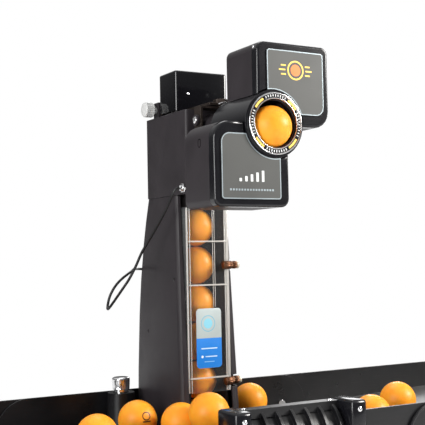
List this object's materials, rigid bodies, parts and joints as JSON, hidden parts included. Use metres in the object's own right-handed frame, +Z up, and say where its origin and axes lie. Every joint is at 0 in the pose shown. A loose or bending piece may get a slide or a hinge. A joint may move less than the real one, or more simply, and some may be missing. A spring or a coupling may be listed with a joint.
{
  "type": "table tennis ball machine",
  "caption": "Table-tennis ball machine: a ball column on a tray with folding wings, and a swivelling two-wheel throwing head with a round muzzle.",
  "frame": {"origin": "middle of the footprint, on the table that the feet stand on", "axes": "+Z up, -Y the way the balls are thrown, +X along the tray to the machine's left as it faces the player"},
  "size_m": [1.12, 0.279, 0.477],
  "materials": {
    "tray_black": "satin black moulding",
    "base_black": "fine texture",
    "charcoal": "fine texture",
    "bezel_black": "gloss",
    "piano_black": "high gloss",
    "channel_black": "gloss",
    "clear_cover": "clear",
    "label_grey": "satin",
    "sticker": "gloss print",
    "ball_orange": "matte celluloid",
    "chrome": "polished",
    "satin_knob": "satin",
    "brass": "knurled",
    "dark_steel": "satin",
    "motor_steel": "brushed",
    "rubber": "matte",
    "tyre": "foam rubber",
    "feeder_plastic": "matte",
    "plate_steel": "satin",
    "cord_black": "satin"
  },
  "bodies": {
    "root": {"base_shell": "base_black", "base_plate": "plate_steel", "foot_front_left": "rubber", "foot_front_right": "rubber", "foot_rear_left": "rubber", "foot_rear_right": "rubber", "power_inlet": "base_black", "feeder_motor": "motor_steel", "hopper_tray": "tray_black", "front_comb": "tray_black", "comb_cap_left": "bezel_black", "comb_cap_right": "bezel_black", "hinge_pin_front_left": "chrome", "hinge_pin_front_right": "chrome", "hinge_pin_rear_left": "chrome", "hinge_pin_rear_right": "chrome", "ball_channel": "channel_black", "channel_cover": "clear_cover", "cover_label": "sticker", "column_lower": "charcoal", "column_upper": "charcoal", "cord_eyelet": "chrome", "cord_gland": "rubber", "control_cord": "cord_black", "stack_ball_1": "ball_orange", "stack_ball_2": "ball_orange", "stack_ball_3": "ball_orange", "stack_ball_4": "ball_orange", "stack_ball_5": "ball_orange", "stack_ball_6": "ball_orange", "hopper_ball_1": "ball_orange", "hopper_ball_2": "ball_orange", "elbow_guide": "channel_black", "pan_drive_cover": "piano_black", "pan_motor": "motor_steel", "pivot_bracket": "dark_steel"},
    "feeder": {"feeder_wheel": "feeder_plastic"},
    "knob_left": {"lock_knob_left": "chrome"},
    "knob_right": {"lock_knob_right": "chrome"},
    "knob_head": {"head_lock_knob": "satin_knob"},
    "thumb_lower": {"thumb_screw_lower": "brass"},
    "thumb_upper": {"thumb_screw_upper": "brass"},
    "wing_left": {"left_wing": "tray_black"},
    "wing_right": {"right_wing": "tray_black"},
    "turret": {"turret_yoke": "dark_steel"},
    "barrel": {"barrel_tube": "charcoal"},
    "wheel_head": {"head_core": "bezel_black", "dial_ring": "chrome", "upper_housing": "charcoal", "lower_housing": "charcoal", "upper_bezel": "bezel_black", "lower_bezel": "bezel_black", "upper_label_plate": "label_grey", "lower_label_plate": "label_grey", "upper_motor": "motor_steel", "lower_motor": "motor_steel", "barrel_ball": "ball_orange"},
    "wheel_upper": {"upper_wheel": "tyre"},
    "wheel_lower": {"lower_wheel": "tyre"}
  },
  "joints": [
    {"name": "left_wing_fold", "type": "hinge", "parent": "root", "child": "wing_left", "pos_m": [-0.158, 0, 0.1005], "axis": [0, 1, 0], "range_deg": [0, 80]},
    {"name": "right_wing_fold", "type": "hinge", "parent": "root", "child": "wing_right", "pos_m": [0.158, 0, 0.1005], "axis": [0, -1, 0], "range_deg": [0, 80]},
    {"name": "head_pan", "type": "hinge", "parent": "root", "child": "turret", "pos_m": [0, -0.006, 0.4], "axis": [0, 0, 1], "range_deg": [-12, 12]},
    {"name": "head_tilt", "type": "hinge", "parent": "turret", "child": "barrel", "pos_m": [0, -0.006, 0.4148], "axis": [-1, 0, 0], "range_deg": [-10, 18]},
    {"name": "head_roll", "type": "hinge", "parent": "barrel", "child": "wheel_head", "pos_m": [0, -0.0735, 0.4], "axis": [0, 1, 0], "continuous": true},
    {"name": "upper_wheel_spin", "type": "hinge", "parent": "wheel_head", "child": "wheel_upper", "pos_m": [0.02934, -0.0735, 0.42934], "axis": [-0.7071, 0, 0.7071], "continuous": true},
    {"name": "lower_wheel_spin", "type": "hinge", "parent": "wheel_head", "child": "wheel_lower", "pos_m": [-0.02934, -0.0735, 0.37066], "axis": [0.7071, 0, -0.7071], "continuous": true},
    {"name": "feeder_spin", "type": "hinge", "parent": "root", "child": "feeder", "pos_m": [0, 0.054, 0.0625], "axis": [1, 0, 0], "continuous": true},
    {"name": "left_lock_turn", "type": "hinge", "parent": "root", "child": "knob_left", "pos_m": [-0.06, 0.116, 0.1358], "axis": [0, 0, 1], "continuous": true},
    {"name": "right_lock_turn", "type": "hinge", "parent": "root", "child": "knob_right", "pos_m": [0.06, 0.116, 0.1358], "axis": [0, 0, 1], "continuous": true},
    {"name": "head_lock_turn", "type": "hinge", "parent": "root", "child": "knob_head", "pos_m": [-0.031, 0.0817, 0.4372], "axis": [-1, 0, 0], "continuous": true},
    {"name": "lower_thumb_turn", "type": "hinge", "parent": "root", "child": "thumb_lower", "pos_m": [0.0253, 0.031, 0.15], "axis": [1, 0, 0], "continuous": true},
    {"name": "upper_thumb_turn", "type": "hinge", "parent": "root", "child": "thumb_upper", "pos_m": [0.0253, 0.031, 0.27], "axis": [1, 0, 0], "continuous": true}
  ]
}
